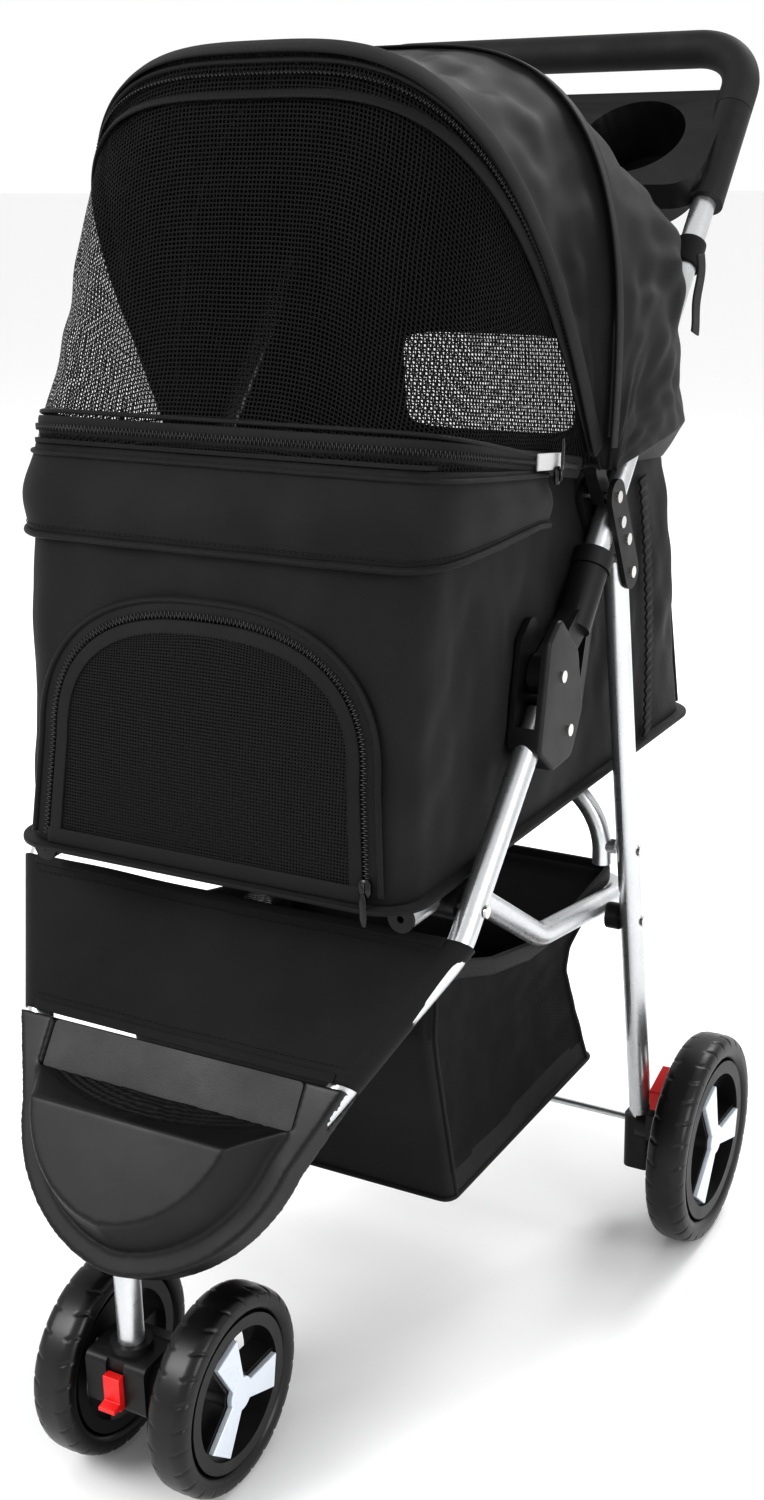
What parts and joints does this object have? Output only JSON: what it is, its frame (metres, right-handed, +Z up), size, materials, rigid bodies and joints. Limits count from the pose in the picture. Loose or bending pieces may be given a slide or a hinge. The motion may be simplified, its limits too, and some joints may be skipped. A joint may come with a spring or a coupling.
{
  "type": "pet stroller",
  "caption": "Folding pet stroller with a fabric cabin, mesh front window, arched door, canopy, cup console, storage basket, swivelling front caster and braked rear wheels.",
  "frame": {"origin": "centre of the bounding box's footprint, on the ground", "axes": "+Z up, -Y towards the front of the stroller, +X to the pusher's left"},
  "size_m": [0.5012, 0.74, 0.9962],
  "materials": {
    "silver_tube": "satin silver",
    "tyre": "semi-gloss black",
    "rim_black": "satin black",
    "spoke_silver": "silver paint",
    "rivet_steel": "bright",
    "red_plastic": "satin red",
    "foam_grip": "matte foam",
    "deck_grey": "matte charcoal",
    "mesh_black": "open net",
    "fabric_black": "woven polyester",
    "pad_fabric": "quilted fabric",
    "hoop_rod": "matte",
    "moulded_black": "satin moulded",
    "zip_coil": "satin nylon",
    "zip_metal": "black enamel",
    "piping_black": "bound edge",
    "web_tape": "woven tape"
  },
  "bodies": {
    "front_frame": {"front_leg_left": "silver_tube", "front_leg_right": "silver_tube", "latch_bracket_left": "moulded_black", "latch_bracket_right": "moulded_black", "footrest_tray": "moulded_black", "footrest_deck": "deck_grey", "caster_stem": "silver_tube", "apron": "fabric_black", "fold_pins": "rivet_steel", "cabin_shell": "fabric_black", "floor_pad": "pad_fabric", "canopy_hood": "fabric_black", "front_window": "mesh_black", "front_hoop": "hoop_rod", "mid_hoop": "hoop_rod", "basket": "fabric_black"},
    "front_door": {"front_door": "mesh_black"},
    "handle_frame": {"handle_tube": "silver_tube", "foam_grip": "foam_grip", "console": "moulded_black", "handle_sleeve_left": "moulded_black", "handle_sleeve_right": "moulded_black", "pivot_plates_left": "moulded_black", "pivot_plates_right": "moulded_black", "plate_rivets": "rivet_steel", "canopy_stalk_left": "moulded_black", "canopy_stalk_right": "moulded_black"},
    "latch_left": {"latch_hook_left": "moulded_black"},
    "latch_right": {"latch_hook_right": "moulded_black"},
    "rear_frame": {"rear_leg_left": "silver_tube", "rear_leg_right": "silver_tube", "foot_block_left": "moulded_black", "foot_block_right": "moulded_black", "rear_axles": "rivet_steel", "axle_rod": "silver_tube", "rear_arch": "silver_tube", "rear_rivets": "rivet_steel", "link_guides": "moulded_black"},
    "brake_left": {"brake_pedal_left": "red_plastic"},
    "brake_right": {"brake_pedal_right": "red_plastic"},
    "lower_link": {"floor_hoop": "silver_tube", "lower_link": "silver_tube", "hoop_plugs": "moulded_black", "hoop_clips": "moulded_black", "link_pins": "rivet_steel"},
    "caster": {"caster_housing": "moulded_black", "front_axle": "rivet_steel"},
    "swivel_lock": {"swivel_lock": "red_plastic"},
    "front_wheel_left": {"front_wheel_left_tyre": "tyre", "front_wheel_left_rim": "rim_black", "front_wheel_left_spokes": "spoke_silver"},
    "rear_wheel_left": {"rear_wheel_left_tyre": "tyre", "rear_wheel_left_rim": "rim_black", "rear_wheel_left_spokes": "spoke_silver"},
    "front_wheel_right": {"front_wheel_right_tyre": "tyre", "front_wheel_right_rim": "rim_black", "front_wheel_right_spokes": "spoke_silver"},
    "rear_wheel_right": {"rear_wheel_right_tyre": "tyre", "rear_wheel_right_rim": "rim_black", "rear_wheel_right_spokes": "spoke_silver"}
  },
  "joints": [
    {"name": "fold", "type": "hinge", "parent": "front_frame", "child": "handle_frame", "pos_m": [0, -0.04389, 0.55282], "axis": [1, 0, 0], "range_deg": [0, 164], "deforming": ["cabin_shell", "floor_pad", "canopy_hood", "front_window", "front_hoop", "mid_hoop", "basket", "apron"]},
    {"name": "rear_fold", "type": "hinge", "parent": "handle_frame", "child": "rear_frame", "pos_m": [0, 0.084, 0.602], "axis": [1, 0, 0], "range_deg": [-44, 0]},
    {"name": "link_fold", "type": "hinge", "parent": "front_frame", "child": "lower_link", "pos_m": [0, -0.159, 0.416], "axis": [1, 0, 0], "range_deg": [0, 72]},
    {"name": "door", "type": "hinge", "parent": "front_frame", "child": "front_door", "pos_m": [0, -0.22094, 0.43993], "axis": [1, 0, 0], "range_deg": [0, 120]},
    {"name": "caster_swivel", "type": "hinge", "parent": "front_frame", "child": "caster", "pos_m": [0, -0.333, 0.1], "axis": [0, 0, 1], "continuous": true},
    {"name": "swivel_lock", "type": "slide", "parent": "caster", "child": "swivel_lock", "axis": [0, 0, 1], "range_m": [0, 0.008]},
    {"name": "latch_left", "type": "slide", "parent": "handle_frame", "child": "latch_left", "axis": [0, 0.6561, 0.7547], "range_m": [0, 0.008], "stiffness_N_per_m": 300, "springref_m": -0.003},
    {"name": "brake_left", "type": "hinge", "parent": "rear_frame", "child": "brake_left", "pos_m": [0.204, 0.157, 0.118], "axis": [1, 0, 0], "range_deg": [-10, 0]},
    {"name": "front_wheel_spin_left", "type": "hinge", "parent": "caster", "child": "front_wheel_left", "pos_m": [0.049, -0.295, 0.075], "axis": [1, 0, 0], "continuous": true},
    {"name": "rear_wheel_spin_left", "type": "hinge", "parent": "rear_frame", "child": "rear_wheel_left", "pos_m": [0.234, 0.168, 0.09], "axis": [1, 0, 0], "continuous": true},
    {"name": "latch_right", "type": "slide", "parent": "handle_frame", "child": "latch_right", "axis": [0, 0.6561, 0.7547], "range_m": [0, 0.008], "stiffness_N_per_m": 300, "springref_m": -0.003},
    {"name": "brake_right", "type": "hinge", "parent": "rear_frame", "child": "brake_right", "pos_m": [-0.204, 0.157, 0.118], "axis": [1, 0, 0], "range_deg": [-10, 0]},
    {"name": "front_wheel_spin_right", "type": "hinge", "parent": "caster", "child": "front_wheel_right", "pos_m": [-0.049, -0.295, 0.075], "axis": [1, 0, 0], "continuous": true},
    {"name": "rear_wheel_spin_right", "type": "hinge", "parent": "rear_frame", "child": "rear_wheel_right", "pos_m": [-0.234, 0.168, 0.09], "axis": [1, 0, 0], "continuous": true}
  ],
  "couplings": [
    {"joint": "rear_fold", "follows": "fold", "ratio": -0.2683},
    {"joint": "link_fold", "follows": "fold", "ratio": 0.439}
  ]
}
